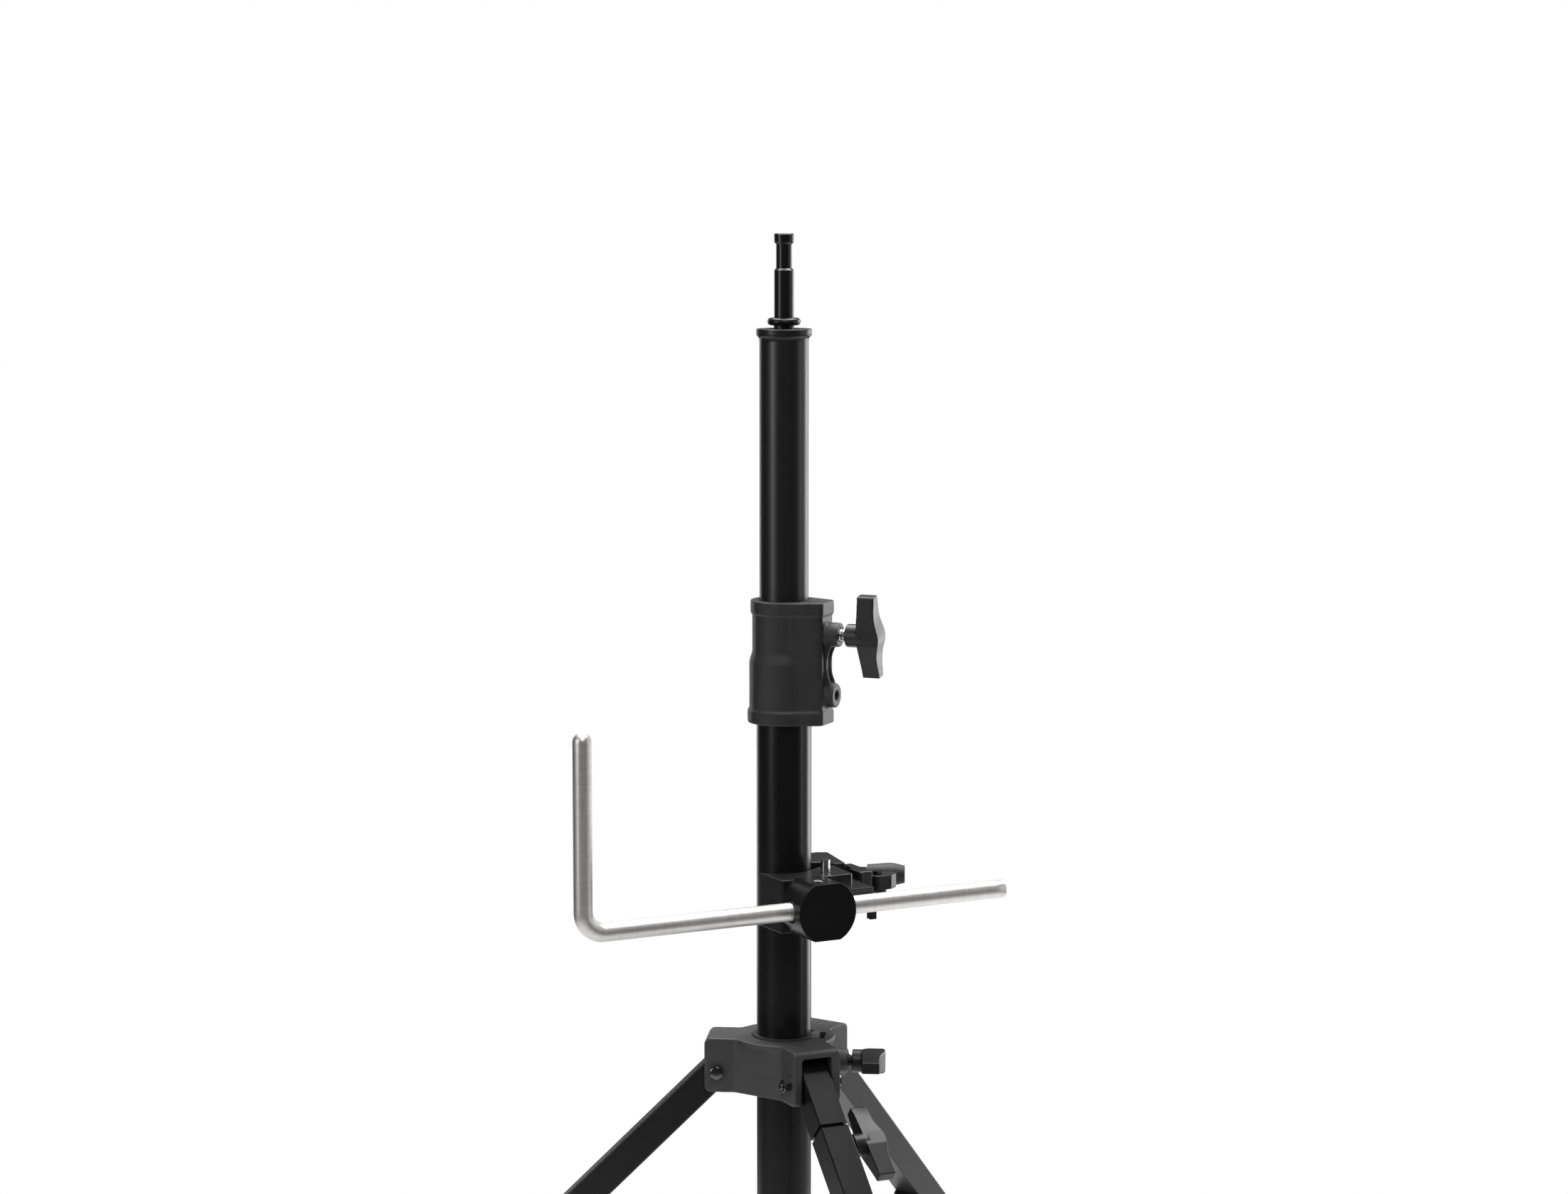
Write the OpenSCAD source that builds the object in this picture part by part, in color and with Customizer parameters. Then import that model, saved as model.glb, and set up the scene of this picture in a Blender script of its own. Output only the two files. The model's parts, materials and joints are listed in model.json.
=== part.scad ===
// Heavy-duty camera stand: a riser with a 16 mm spigot slides in a column that stands on three
// folding legs, and a jaw clamp on the column holds an L-shaped rod in a round holder.
// Millimetres. The origin is on the column's axis at floor level, +Z points up, +X to the side
// that the locking knobs face, and +Y away from the side with the rod holder.

/* [Column and riser] */
// Outer diameter of the column tube
column_d = 45; // [40:0.5:50]
// Wall of the column tube
column_wall = 2; // [1.5:0.1:2.4]
// Height of the column's lower end above the floor
column_bottom = 117; // [105:1:125]
// Outer diameter of the riser tube
riser_d = 40; // [34:0.5:40.5]
// Wall of the riser tube
riser_wall = 2; // [1.5:0.1:3]
// Length of the riser tube
riser_len = 760; // [600:1:800]
// Length of riser that shows above the collar
riser_out = 211; // [150:1:260]
// Radial running clearance of tubes, bushes and pins
running = 0.08; // [0.03:0.01:0.1]
// Gap between faces that pass each other
face_gap = 0.4; // [0.3:0.05:0.6]

/* [Spigot] */
// Diameter of the spigot
spigot_d = 16; // [12:0.5:17]
// Diameter of the spigot's groove
spigot_groove_d = 12.8; // [9:0.1:13.5]
// Length of the plain shank between the ring and the groove
spigot_shank = 40; // [25:1:60]
// Length of the groove
spigot_groove = 21; // [10:1:26]
// Length of the spigot's head
spigot_head = 7; // [5:0.5:12]
// Diameter of the seat ring
ring_d = 27.2; // [24:0.2:34]
// Thickness of the seat ring
ring_h = 6; // [4:0.5:9]
// Diameter of the riser cap's rim
cap_d = 45; // [42:0.5:52]

/* [Collar] */
// Height of the collar casting
collar_h = 101; // [90:1:120]
// Height at which the collar's top face stands
collar_top = 956; // [940:1:1000]
// Wall of the collar round the riser
collar_wall = 7.5; // [6.5:0.1:10]
// Height of the collar's end bands
collar_band = 11; // [8:0.5:14]
// Step of the end bands beyond the body
collar_step = 1.5; // [1:0.1:3]
// Distance from the axis to the collar's flat pad
collar_reach = 38.5; // [37:0.5:46]
// Width of the collar's flat pad
collar_pad_w = 25; // [23:0.5:32]
// Direction that the collar's knob faces
collar_az = -23; // [-40:1:-10]
// Depth of the knob's axis under the collar's top face
collar_knob_drop = 27; // [24:1:34]
// Height of the set screw's axis above the collar's lower face
collar_set_rise = 24; // [20:1:30]

/* [Locking knobs] */
// Diameter of the locking screws
screw_d = 10; // [8:1:12]
// Diameter of the bosses that the screws run in
boss_d = 20; // [18:0.5:24]
// Diameter of a knob's hub
hub_d = 19; // [16:0.5:22]
// Length of a knob's wings from tip to tip
knob_len = 69; // [55:1:80]
// Width of a knob's wings along the screw
knob_w = 15.5; // [12:0.5:18]
// Thickness of a knob at its hub
knob_t = 18; // [16:0.5:20]
// Thickness of a knob at its tips
knob_tip_t = 9; // [6:0.5:12]
// Depth of the hollows beside a knob's crown
knob_hollow = 1.6; // [0:0.1:2.4]

/* [Legs] */
// Outer size of the square leg tube
leg_w = 25; // [22:0.5:27]
// Wall of the leg tube
leg_wall = 2.2; // [1.6:0.1:2.6]
// Length of a leg tube below its hinge
leg_len = 771; // [730:1:785]
// Distance of the leg hinges from the column's axis
hinge_r = 54; // [52:0.5:60]
// Height of the leg hinges above the floor
hinge_z = 564; // [555:1:600]
// Angle between a leg and the column
leg_tilt = 45; // [40:1:48]
// Direction of the first leg
leg_az = 175; // [170:1:180]
// Length of leg above its hinge
leg_head = 12.5; // [10:0.5:14]
// Length of the levelling leg's upper part below its hinge
level_joint = 46; // [40:1:60]
// Travel of the levelling leg
level_travel = 100; // [60:5:110]
// Diameter of the hinge bolts
bolt_d = 6; // [5:0.5:8]

/* [Spider] */
// Height of the spider casting
spider_h = 45.5; // [36:0.5:48]
// Height of the spider's top above the leg hinges
spider_up = 28.5; // [24:0.5:32]
// Thickness of the plate that closes each clevis
spider_plate = 6.5; // [5:0.5:7]
// Wall of a clevis
clevis_wall = 7.5; // [6:0.5:9]
// Distance from the axis to the end of a clevis
clevis_r = 64.5; // [62:0.5:74]
// Radius of the spider's round top lip
lip_r = 42.5; // [38:0.5:46]
// Thickness of the top lip
lip_h = 4.5; // [3:0.5:6]
// Radius of the spider's hub under the lip
hub_r = 33.5; // [32:0.5:34]
// Direction that the spider's knob faces
spider_az = -5; // [-12:1:2]

/* [Braces] */
// Distance along the leg from its hinge to the brace lug
brace_at = 215; // [205:1:225]
// Distance of the brace pivot below the leg's underside
brace_drop = 9.5; // [8.5:0.5:12]
// Height from the lower hub's pivots up to the brace lugs
brace_rise = 250; // [240:1:270]
// Distance from the axis to the lower hub's pivots
brace_root_r = 32; // [31.5:0.5:34]
// Width of a brace strip
strip_w = 15; // [12:0.5:16]
// Thickness of a brace strip
strip_t = 3; // [2:0.5:4]

/* [Clamp] */
// Height of the clamp's middle above the floor
clamp_z = 711; // [700:1:760]
// Direction in which the clamp's body lies
clamp_az = 28; // [20:1:35]
// Height of the clamp's jaws
jaw_h = 44; // [36:1:50]
// Distance from the column's axis to the clamp's front face
jaw_front = 49; // [46:1:54]
// Travel of the moving jaw
jaw_travel = 5; // [2:0.5:8]
// Diameter of the lock pin
lock_pin_d = 7.6; // [6:0.2:9]
// Height of the lock pin above the clamp
lock_pin_up = 10.5; // [8:0.5:12]
// Travel of the lock pin
lock_pin_travel = 4; // [2:0.5:5]

/* [Rod and holder] */
// Diameter of the L-shaped rod
rod_d = 15; // [12:0.5:16]
// Length of the rod's straight arm right of the holder
rod_right = 175; // [120:1:200]
// Length of the rod's arm left of the holder
rod_left = 209; // [150:1:240]
// Height of the rod's upright arm above its long arm
rod_up = 160; // [100:1:200]
// Bend radius on the rod's centre line
rod_bend = 18; // [16:1:30]
// Diameter of the rod holder
holder_d = 52; // [46:1:60]
// Distance between the holder's flats
holder_flat = 46.6; // [40:0.2:50]
// Length of the rod holder
holder_len = 34; // [28:1:40]
// Diameter of the holder's stud
stud_d = 16; // [14:0.5:18]
// Wall of the split sleeve between holder and rod
sleeve_t = 1.5; // [1:0.1:2.5]

/* [Hidden] */
$fn = 64;
tiny = 0.01;
LEFT = 0;
FRONT = 1;
REAR = 2;

column_r = column_d / 2;
column_bore = column_r - column_wall;
riser_r = riser_d / 2;
riser_bore = riser_r - riser_wall;
riser_top = collar_top + riser_out;
riser_bottom = riser_top - riser_len;
collar_bottom = collar_top - collar_h;
collar_r = riser_r + collar_wall;
collar_low_r = column_r + collar_wall - collar_step;
collar_split = collar_bottom + 0.5 * collar_h;
column_top = collar_split + 2;
pad_t = 6.5;
pitch = 1.5;

cap_rim = 4.8;
cap_cove = 5;
ring_z = riser_top + cap_cove + cap_rim + 2.8;
seat_z = ring_z + ring_h;
groove_z = seat_z + spigot_shank;
tenon_r = spigot_d / 2 - 1;
head_z = groove_z + spigot_groove;
spigot_top = head_z + spigot_head;

spider_top = hinge_z + spider_up;
spider_bottom = spider_top - spider_h;
brace_down = leg_w / 2 + brace_drop;
clevis_gap = leg_w + 2 * 0.7;
clevis_w = clevis_gap + 2 * clevis_wall;
bush_t = 3.6;
bush_r = column_r + running + bush_t;
spider_knob_z = spider_top - 21.5;
web_at = hub_r + 6;
web_turn = atan2(clevis_w / 2 - 0.2, web_at);
web_r = sqrt(web_at * web_at + pow(clevis_w / 2 - 0.2, 2));

brace_r = hinge_r + brace_at * sin(leg_tilt) - brace_down * cos(leg_tilt);
brace_top_z = hinge_z - brace_at * cos(leg_tilt) - brace_down * sin(leg_tilt);
brace_root_z = brace_top_z - brace_rise;
brace_run = brace_r - brace_root_r;
brace_len = sqrt(brace_run * brace_run + brace_rise * brace_rise);
brace_lean = atan2(brace_run, brace_rise);
strip_in = leg_w / 2 + face_gap;
core_w = leg_w - 2 * leg_wall - 2 * face_gap;
slot_w = 10;
level_knob_at = level_joint + 16;
boot_t = 3;
boot_len = 46;

clamp_top = jaw_h / 2;
vee = (column_r + 0.3) / cos(30);
jaw_left = 28;
lever_u = 84;
lever_v = -8;
lever_z = -2;
lock_u = 21;
lock_v = -33;
socket_v = -37;
spine_u = 37;
spine_w = 20.5;
spine_top = clamp_top - 13;
holder_axis_u = -4;
rod_v = -(jaw_front + face_gap + holder_len / 2);

// ---------------------------------------------------------------- shared shapes

// A rectangle with round corners, made of true arcs
module round_rect(w, h, r) {
    square([w - 2 * r, h], center = true);
    square([w, h - 2 * r], center = true);
    for (x = [-1, 1], y = [-1, 1])
        translate([x * (w / 2 - r), y * (h / 2 - r)]) circle(r);
}

// A cylinder along +X from a to b
module bar_x(a, b, r) {
    translate([a, 0, 0]) rotate([0, 90, 0]) cylinder(r = r, h = b - a);
}

// A cylinder along +Y from a to b
module bar_y(a, b, r) {
    translate([0, a, 0]) rotate([-90, 0, 0]) cylinder(r = r, h = b - a);
}

// A hexagonal prism along +Y from a to b, across the flats af
module hex_y(a, b, af) {
    translate([0, a, 0]) rotate([-90, 0, 0]) cylinder(r = af / sqrt(3), h = b - a, $fn = 6);
}

// A hexagonal prism along +X from a to b, across the flats af
module hex_x(a, b, af) {
    translate([a, 0, 0]) rotate([0, 90, 0]) cylinder(r = af / sqrt(3), h = b - a, $fn = 6);
}

// A tube of square section along +X from a to b
module square_tube(a, b) {
    translate([a, 0, 0]) rotate([90, 0, 90]) linear_extrude(b - a) difference() {
        round_rect(leg_w, leg_w, 1.6);
        round_rect(leg_w - 2 * leg_wall, leg_w - 2 * leg_wall, 0.8);
    }
}

// Where the wings start and end along the screw at a fraction f of the half length
function near(f) = 1 - cos(180 * f) * 0.9;
function far(f) = knob_w + 1 + 2.9 * exp(-pow(f / 0.33, 2))
    - 0.4 * knob_hollow * pow(sin(180 * f), 2);

// The winged grip of a locking knob, whose near side starts at x = 0 on the screw's axis
module knob_wings() {
    steps = 14;
    half = knob_len / 2;
    front = [for (i = [-steps:steps]) [near(i / steps), half * i / steps]];
    back = [for (i = [-steps:steps]) [far(-i / steps), -half * i / steps]];
    intersection() {
        translate([0, knob_t / 2, 0]) rotate([90, 0, 0]) linear_extrude(knob_t)
            polygon(concat(front, back));
        translate([-10, 0, 0]) rotate([90, 0, 90]) linear_extrude(knob_w + 20) polygon([
            [-knob_tip_t / 2, -half], [knob_tip_t / 2, -half], [knob_t / 2, -hub_d / 3],
            [knob_t / 2, hub_d / 3], [knob_tip_t / 2, half], [-knob_tip_t / 2, half],
            [-knob_t / 2, hub_d / 3], [-knob_t / 2, -hub_d / 3]
        ]);
    }
}

// A whole knob: its hub starts at x = a and its wings at x = b
module knob(a, b) {
    color("#2b2b2d") difference() {
        union() {
            bar_x(a, b + 4, hub_d / 2);
            translate([b, 0, 0]) knob_wings();
        }
        bar_x(a - 1, b + 5, screw_d / 2);
    }
}

// ---------------------------------------------------------------- riser and spigot

module spigot() {
    shank_r = spigot_d / 2;
    groove_r = spigot_groove_d / 2;
    fillet = shank_r - groove_r;
    stem = riser_top - 22;
    color("#3a3a3c") rotate_extrude() polygon([
        [0, stem], [tenon_r, stem], [tenon_r, seat_z], [shank_r, seat_z],
        [shank_r, groove_z - fillet], [groove_r, groove_z],
        [groove_r, head_z - fillet], [shank_r - 0.6, head_z - 0.6], [shank_r, head_z],
        [shank_r, spigot_top - 0.7], [shank_r - 0.7, spigot_top], [0, spigot_top]
    ]);
}

module spigot_ring() {
    edge = ring_h / 2;
    color("#3a3a3c") translate([0, 0, ring_z]) rotate_extrude() difference() {
        union() {
            translate([ring_d / 2 - edge, edge]) circle(edge);
            translate([tenon_r, 0]) square([ring_d / 2 - edge - tenon_r, ring_h]);
        }
        translate([-1, -1]) square([tenon_r + 1, ring_h + 2]);
    }
}

module riser_cap() {
    rim_z = riser_top + cap_cove;
    color("#29292b") difference() {
        rotate_extrude() {
            difference() {
                translate([0, riser_top]) square([cap_d / 2, cap_cove]);
                translate([cap_d / 2 + cap_cove - (cap_d / 2 - riser_r), riser_top]) circle(cap_cove);
            }
            translate([0, riser_top + cap_cove - tiny]) square([riser_r, tiny]);
            translate([0, rim_z]) square([cap_d / 2 - 0.8, cap_rim]);
            translate([0, rim_z + 0.8]) square([cap_d / 2, cap_rim - 1.6]);
            translate([cap_d / 2 - 0.8, rim_z + 0.8]) circle(0.8);
            translate([cap_d / 2 - 0.8, rim_z + cap_rim - 0.8]) circle(0.8);
            translate([0, rim_z + cap_rim - tiny]) square([spigot_d / 2 + 0.4, 2.8 + tiny]);
            translate([0, riser_top - 26]) square([riser_bore, 26 + tiny]);
        }
        translate([0, 0, riser_top - 22]) cylinder(r = tenon_r, h = 60);
    }
}

module riser_tube() {
    color("#171719") translate([0, 0, riser_bottom]) difference() {
        cylinder(r = riser_r, h = riser_len);
        translate([0, 0, -1]) cylinder(r = riser_bore, h = riser_len + 2);
    }
}

module riser_guide() {
    color("#3c3c3e") difference() {
        union() {
            translate([0, 0, riser_bottom - 14]) cylinder(r = column_bore - running, h = 14);
            translate([0, 0, riser_bottom - 1]) cylinder(r = riser_bore, h = 26);
        }
        translate([0, 0, riser_bottom - 15]) cylinder(r = riser_bore - 3, h = 45);
    }
}

// ---------------------------------------------------------------- column and collar

// Plan of the collar: a barrel of radius r and a block that narrows to a flat pad
module collar_plan(r, out, half_w) {
    root = out * 0.38;
    root_w = half_w + 0.41 * (out - root);
    circle(r);
    polygon([
        [root / 2, -root_w * 0.75], [root, -root_w], [out - 2.5, -half_w - 1],
        [out, -half_w + 1.5], [out, half_w - 1.5], [out - 2.5, half_w + 1],
        [root, root_w], [root / 2, root_w * 0.75]
    ]);
}

module collar_slab(z, h, r, grow) {
    translate([0, 0, z]) linear_extrude(h)
        collar_plan(r + grow, collar_reach + grow * 0.7, collar_pad_w / 2 + grow * 0.7);
}

module collar() {
    knob_z = collar_top - collar_knob_drop;
    set_z = collar_bottom + collar_set_rise;
    color("#2c2c2e") rotate([0, 0, collar_az]) difference() {
        union() {
            collar_slab(collar_bottom, collar_h, collar_r - collar_step, 0);
            collar_slab(collar_top - collar_band, collar_band, collar_r - collar_step, collar_step);
            collar_slab(collar_bottom, collar_band, collar_low_r, collar_step);
            // the wider lower barrel and its sloping shoulder
            translate([0, 0, collar_bottom + 2])
                cylinder(r = collar_low_r, h = collar_split - collar_bottom - 2);
            translate([0, 0, collar_split])
                cylinder(r1 = collar_low_r, r2 = collar_r - collar_step - 0.3, h = 9);
            translate([0, 0, knob_z]) bar_x(collar_reach - 8, collar_reach + 11.5, boss_d / 2);
            translate([0, 0, set_z]) bar_x(collar_reach - 8, collar_reach + 8.5, boss_d / 2);
            // two ribs join the bosses, with a hollow front edge
            for (y = [-6, 3.5]) translate([0, y, set_z]) difference() {
                translate([collar_reach - 4, 0, 0]) cube([9, 2.5, knob_z - set_z]);
                translate([collar_reach + 31.5, 5, (knob_z - set_z) / 2]) rotate([90, 0, 0])
                    cylinder(r = 30, h = 10);
            }
        }
        translate([0, 0, collar_bottom - 1]) cylinder(r = riser_r + running, h = collar_h + 2);
        translate([0, 0, collar_bottom - 1]) cylinder(r = column_r, h = column_top - collar_bottom + 1);
        // pad pocket, screw bore and set screw bore
        translate([0, -7.3, knob_z - 9.3]) cube([riser_r + pad_t + 6, 14.6, 18.6]);
        translate([0, 0, knob_z]) bar_x(0, collar_reach + 20, screw_d / 2 + running);
        translate([0, 0, set_z]) bar_x(column_r - 4, collar_reach + 20, 4);
    }
}

module collar_set_screw() {
    set_z = collar_bottom + collar_set_rise;
    color("#1d1d1f") rotate([0, 0, collar_az]) translate([0, 0, set_z]) difference() {
        bar_x(column_r, collar_reach + 4.5, 4);
        hex_x(collar_reach - 1, collar_reach + 6, 4);
    }
}

module collar_knob() {
    rotate([0, 0, collar_az]) translate([0, 0, collar_top - collar_knob_drop]) rotate([12, 0, 0])
        knob(collar_reach + 18, collar_reach + 28);
}

module collar_screw() {
    color("#b9b6ae") rotate([0, 0, collar_az]) translate([0, 0, collar_top - collar_knob_drop])
        bar_x(riser_r + pad_t + face_gap, collar_reach + 33, screw_d / 2);
}

module collar_pad() {
    color("#8d8d8f") rotate([0, 0, collar_az]) translate([0, 0, collar_top - collar_knob_drop])
        difference() {
            translate([0, -7, -9]) cube([riser_r + pad_t + face_gap, 14, 18]);
            translate([0, 0, -10]) cylinder(r = riser_r + face_gap, h = 20);
        }
}

module column_tube() {
    color("#171719") translate([0, 0, column_bottom]) difference() {
        cylinder(r = column_r, h = column_top - column_bottom);
        translate([0, 0, -1]) cylinder(r = column_bore, h = column_top - column_bottom + 2);
    }
}

module column_plug() {
    color("#202022") difference() {
        union() {
            translate([0, 0, column_bottom - 6]) cylinder(r = column_r, h = 6);
            translate([0, 0, column_bottom - 1]) cylinder(r = column_bore, h = 20);
        }
        translate([0, 0, column_bottom - 2]) cylinder(r = column_bore - 3, h = 22);
    }
}

module lower_hub() {
    ear_w = leg_w - 2 * face_gap;
    color("#2c2c2e") difference() {
        union() {
            translate([0, 0, brace_root_z - 14]) cylinder(r = column_r + 3.8, h = 26);
            for (k = [LEFT, FRONT, REAR]) rotate([0, 0, leg_az + 120 * k])
                translate([0, ear_w / 2, brace_root_z]) rotate([90, 0, 0]) linear_extrude(ear_w) {
                    translate([brace_root_r, 0]) circle(7);
                    translate([0, -7]) square([brace_root_r, 14]);
                }
        }
        translate([0, 0, brace_root_z - 40]) cylinder(r = column_r, h = 80);
        for (k = [LEFT, FRONT, REAR]) rotate([0, 0, leg_az + 120 * k])
            translate([brace_root_r, 0, brace_root_z]) bar_y(-20, 20, bolt_d / 2);
    }
}

module hub_pins() {
    color("#9a9a9c") for (k = [LEFT, FRONT, REAR]) rotate([0, 0, leg_az + 120 * k])
        translate([brace_root_r, 0, brace_root_z]) {
            out = strip_in + strip_t + face_gap;
            bar_y(-out, out, bolt_d / 2);
            bar_y(-out - 2.5, -out, bolt_d);
            bar_y(out, out + 2.5, bolt_d);
        }
}

// ---------------------------------------------------------------- spider

module spider() {
    slot_floor = spider_top - spider_plate;
    color("#3a3a3a") difference() {
        union() {
            // webs run straight between the clevises
            translate([0, 0, spider_bottom]) linear_extrude(spider_h) polygon([
                for (k = [0:2], s = [-1, 1]) web_r * [cos(leg_az + 120 * k + s * web_turn),
                    sin(leg_az + 120 * k + s * web_turn)]
            ]);
            translate([0, 0, spider_top - lip_h]) cylinder(r = lip_r, h = lip_h);
            for (k = [LEFT, FRONT, REAR]) rotate([0, 0, leg_az + 120 * k])
                translate([0, clevis_w / 2, 0]) rotate([90, 0, 0]) linear_extrude(clevis_w)
                    translate([clevis_r / 2, spider_top - spider_h / 2])
                        round_rect(clevis_r, spider_h, 5);
            rotate([0, 0, spider_az]) {
                translate([0, 0, spider_knob_z]) bar_x(0, clevis_r - 11, boss_d / 2);
                translate([0, -15, spider_bottom]) cube([hub_r + 6, 30, spider_h]);
            }
        }
        translate([0, 0, spider_bottom - 1]) cylinder(r = bush_r, h = spider_h + 2);
        for (k = [LEFT, FRONT, REAR]) rotate([0, 0, leg_az + 120 * k]) {
            translate([hub_r + 0.3, -clevis_gap / 2, spider_bottom - 1])
                cube([clevis_r, clevis_gap, slot_floor - spider_bottom + 1]);
            translate([hinge_r, 0, hinge_z]) bar_y(-clevis_w, clevis_w, bolt_d / 2);
        }
        rotate([0, 0, spider_az]) {
            translate([0, -11.3, spider_knob_z - 14]) cube([column_r + pad_t + 5, 22.6, 60]);
            translate([0, 0, spider_knob_z]) bar_x(0, clevis_r, screw_d / 2 + running);
        }
    }
}

module spider_bush() {
    color("#48484a") difference() {
        translate([0, 0, spider_bottom]) cylinder(r = bush_r, h = spider_h + 1);
        translate([0, 0, spider_bottom - 1]) cylinder(r = column_r + running, h = spider_h + 4);
        rotate([0, 0, spider_az]) translate([0, -11.3, spider_knob_z - 14]) cube([60, 22.6, 60]);
    }
}

module leg_bolts() {
    color("#a9a9ab") for (k = [LEFT, FRONT, REAR]) rotate([0, 0, leg_az + 120 * k])
        translate([hinge_r, 0, hinge_z]) {
            bar_y(-clevis_w / 2 - 8, clevis_w / 2, bolt_d / 2);
            hex_y(clevis_w / 2, clevis_w / 2 + 4, 10);
        }
}

module leg_nuts() {
    color("#a9a9ab") for (k = [LEFT, FRONT, REAR]) rotate([0, 0, leg_az + 120 * k])
        translate([hinge_r, 0, hinge_z]) difference() {
            hex_y(-clevis_w / 2 - 6, -clevis_w / 2, 10);
            bar_y(-clevis_w / 2 - 9, 0, bolt_d / 2);
        }
}

module spider_knob() {
    rotate([0, 0, spider_az]) translate([0, 0, spider_knob_z]) rotate([86, 0, 0])
        knob(clevis_r - 7.5, clevis_r + 0.5);
}

module spider_screw() {
    color("#3c3c3e") rotate([0, 0, spider_az]) translate([0, 0, spider_knob_z])
        bar_x(column_r + pad_t + face_gap, clevis_r + 5.5, screw_d / 2);
}

module spider_pad() {
    color("#8f8f90") rotate([0, 0, spider_az]) translate([0, 0, spider_knob_z]) difference() {
        translate([0, -11, -13.5]) cube([column_r + pad_t + face_gap, 22, 35]);
        translate([0, 0, -20]) cylinder(r = column_r + face_gap, h = 60);
    }
}

// ---------------------------------------------------------------- legs

// Places children in leg k's frame: +X runs down the leg from the hinge, +Z out of its top face
module on_leg(k) {
    rotate([0, 0, leg_az + 120 * k]) translate([hinge_r, 0, hinge_z])
        rotate([0, 90 - leg_tilt, 0]) children();
}

module leg(k) {
    color("#1f1f21") on_leg(k) difference() {
        square_tube(-leg_head, leg_len);
        bar_y(-leg_w, leg_w, bolt_d / 2 + running);
    }
}

module foot(k) {
    outer = leg_w + 2 * boot_t;
    color("#161617") difference() {
        on_leg(k) translate([leg_len - boot_len + 20, 0, 0]) rotate([90, 0, 90])
            linear_extrude(boot_len) round_rect(outer, outer, 3);
        on_leg(k) translate([leg_len - 60, 0, 0]) rotate([90, 0, 90])
            linear_extrude(60) round_rect(leg_w, leg_w, 1.6);
        rotate([0, 0, leg_az + 120 * k]) translate([0, -50, -100]) cube([1200, 100, 100]);
    }
}

// The lug that a brace meets, under the leg
module lug_body() {
    half = leg_w / 2 - face_gap;
    rotate([90, 0, 0]) translate([0, 0, -half]) linear_extrude(2 * half) {
        translate([brace_at, -brace_down]) circle(7.5);
        translate([brace_at - 7.5, -brace_down]) square([15, brace_down - leg_w / 2 - face_gap]);
        translate([brace_at - 12, -leg_w / 2 - face_gap - 3]) square([24, 3]);
    }
}

module lug(k, stem_w, stem_len, stem_top) {
    color("#2c2c2e") on_leg(k) {
        lug_body();
        translate([brace_at - stem_len / 2, -stem_w / 2, -leg_w / 2 - face_gap - tiny])
            cube([stem_len, stem_w, stem_top + tiny]);
    }
}

module leg_front_upper() {
    color("#1f1f21") on_leg(FRONT) difference() {
        square_tube(-leg_head, level_joint);
        bar_y(-leg_w, leg_w, bolt_d / 2 + running);
    }
}

module leg_front_core() {
    inner = leg_w - 2 * leg_wall;
    color("#8a8a8c") on_leg(FRONT) {
        translate([level_joint - 30, 0, 0]) rotate([90, 0, 90]) linear_extrude(30)
            round_rect(inner, inner, 0.8);
        translate([level_joint, 0, 0]) rotate([90, 0, 90])
            linear_extrude(brace_at + 25 - level_joint) round_rect(core_w, core_w, 0.8);
    }
}

module leg_front_lower() {
    chamfer = 2.5;
    top = level_joint + 1.5;
    slot_start = brace_at - 12 - level_travel - 2;
    color("#1f1f21") on_leg(FRONT) difference() {
        square_tube(top, leg_len);
        translate([slot_start, -slot_w / 2, -leg_w])
            cube([level_travel + 28, slot_w, leg_w]);
        translate([level_knob_at, 0, 0]) bar_y(0, leg_w, screw_d / 2 + running);
        for (a = [0, 90, 180, 270]) rotate([a, 0, 0]) translate([top, 0, leg_w / 2])
            rotate([0, 45, 0]) cube([chamfer, 2 * leg_w, chamfer], center = true);
    }
}

module level_knob() {
    on_leg(FRONT) translate([level_knob_at, 0, 0]) rotate([0, 0, 90]) rotate([82, 0, 0])
        knob(leg_w / 2 + 2.5, leg_w / 2 + 11);
}

module level_screw() {
    color("#3c3c3e") on_leg(FRONT) translate([level_knob_at, 0, 0])
        bar_y(core_w / 2 + face_gap, leg_w / 2 + 16, screw_d / 2);
}

module level_pad() {
    color("#8f8f90") on_leg(FRONT) translate([level_knob_at, 0, 0])
        bar_y(core_w / 2 + 0.1, core_w / 2 + face_gap, screw_d / 2 - 0.5);
}

// ---------------------------------------------------------------- braces

// Places children in brace k's frame: +X runs up the brace from the lower hub's pivot
module on_brace(k) {
    rotate([0, 0, leg_az + 120 * k]) translate([brace_root_r, 0, brace_root_z])
        rotate([0, brace_lean - 90, 0]) children();
}

module brace(k) {
    color("#262628") on_brace(k) {
        for (s = [-1, 1]) difference() {
            translate([0, s > 0 ? strip_in + strip_t : -strip_in, 0]) rotate([90, 0, 0])
                linear_extrude(strip_t) {
                    circle(strip_w / 2);
                    translate([brace_len, 0]) circle(strip_w / 2);
                    translate([0, -strip_w / 2]) square([brace_len, strip_w]);
                }
            bar_y(-30, 30, bolt_d / 2 + running);
            translate([brace_len, 0, 0]) bar_y(-30, 30, bolt_d / 2);
        }
        translate([brace_len / 2, 0, 0]) bar_y(-strip_in, strip_in, 3.5);
    }
}

module rivets(k) {
    color("#9a9a9c") on_brace(k) translate([brace_len, 0, 0]) {
        out = strip_in + strip_t;
        bar_y(strip_in, out + tiny, bolt_d / 2);
        bar_y(out, out + 2.5, bolt_d);
        bar_y(-out - tiny, -strip_in, bolt_d / 2);
        bar_y(-out - 2.5, -out, bolt_d);
    }
}

// ---------------------------------------------------------------- clamp

// Places children in the clamp's frame: +X along the jaws, +Y from the front jaw to the back one
module in_clamp() {
    rotate([0, 0, clamp_az]) translate([0, 0, clamp_z]) children();
}

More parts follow.
